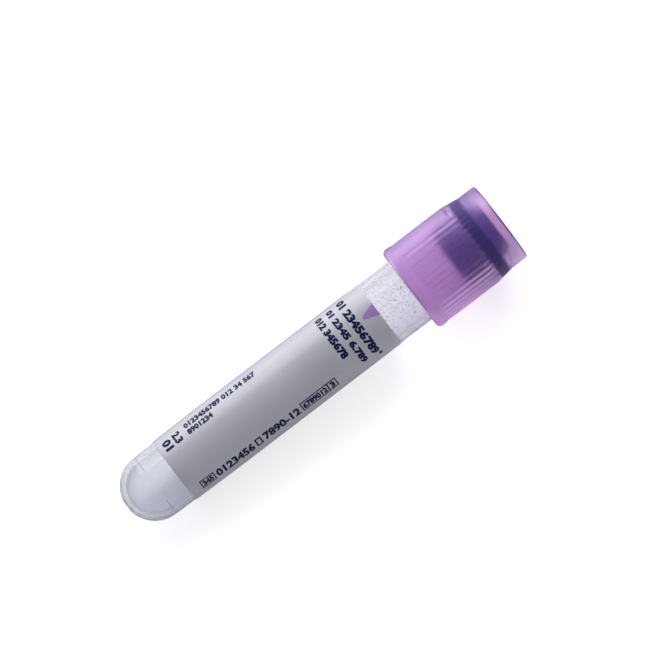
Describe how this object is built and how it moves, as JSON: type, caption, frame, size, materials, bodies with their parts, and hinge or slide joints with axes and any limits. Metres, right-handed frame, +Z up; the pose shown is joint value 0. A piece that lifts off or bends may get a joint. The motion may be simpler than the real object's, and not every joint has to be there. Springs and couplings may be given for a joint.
{
  "type": "blood collection tube",
  "caption": "Evacuated blood collection tube: clear round-ended plastic tube with a wrap label, and a ribbed lavender safety shield over a rubber stopper.",
  "frame": {"origin": "middle of the tube's length and width at rest, on the surface that it lies on", "axes": "+X from the round end to the closure, +Z up, so the tube's axis climbs 2.2 degrees towards +X"},
  "size_m": [0.0812, 0.0164, 0.0169],
  "materials": {
    "tube": "clear moulded polyester, slightly milky, polished",
    "label": "smooth white printed paper with a satin face",
    "stopper": "dull moulded rubber, lightly siliconed",
    "shield": "translucent lavender plastic, satin, with moulded ribs"
  },
  "bodies": {
    "tube": {"tube": "tube", "label": "label"},
    "closure": {"stopper": "stopper", "shield": "shield"}
  },
  "joints": [
    {"name": "closure_pull", "type": "slide", "parent": "tube", "child": "closure", "axis": [0.9993, 0, 0.0382], "range_m": [0, 0.03]}
  ]
}
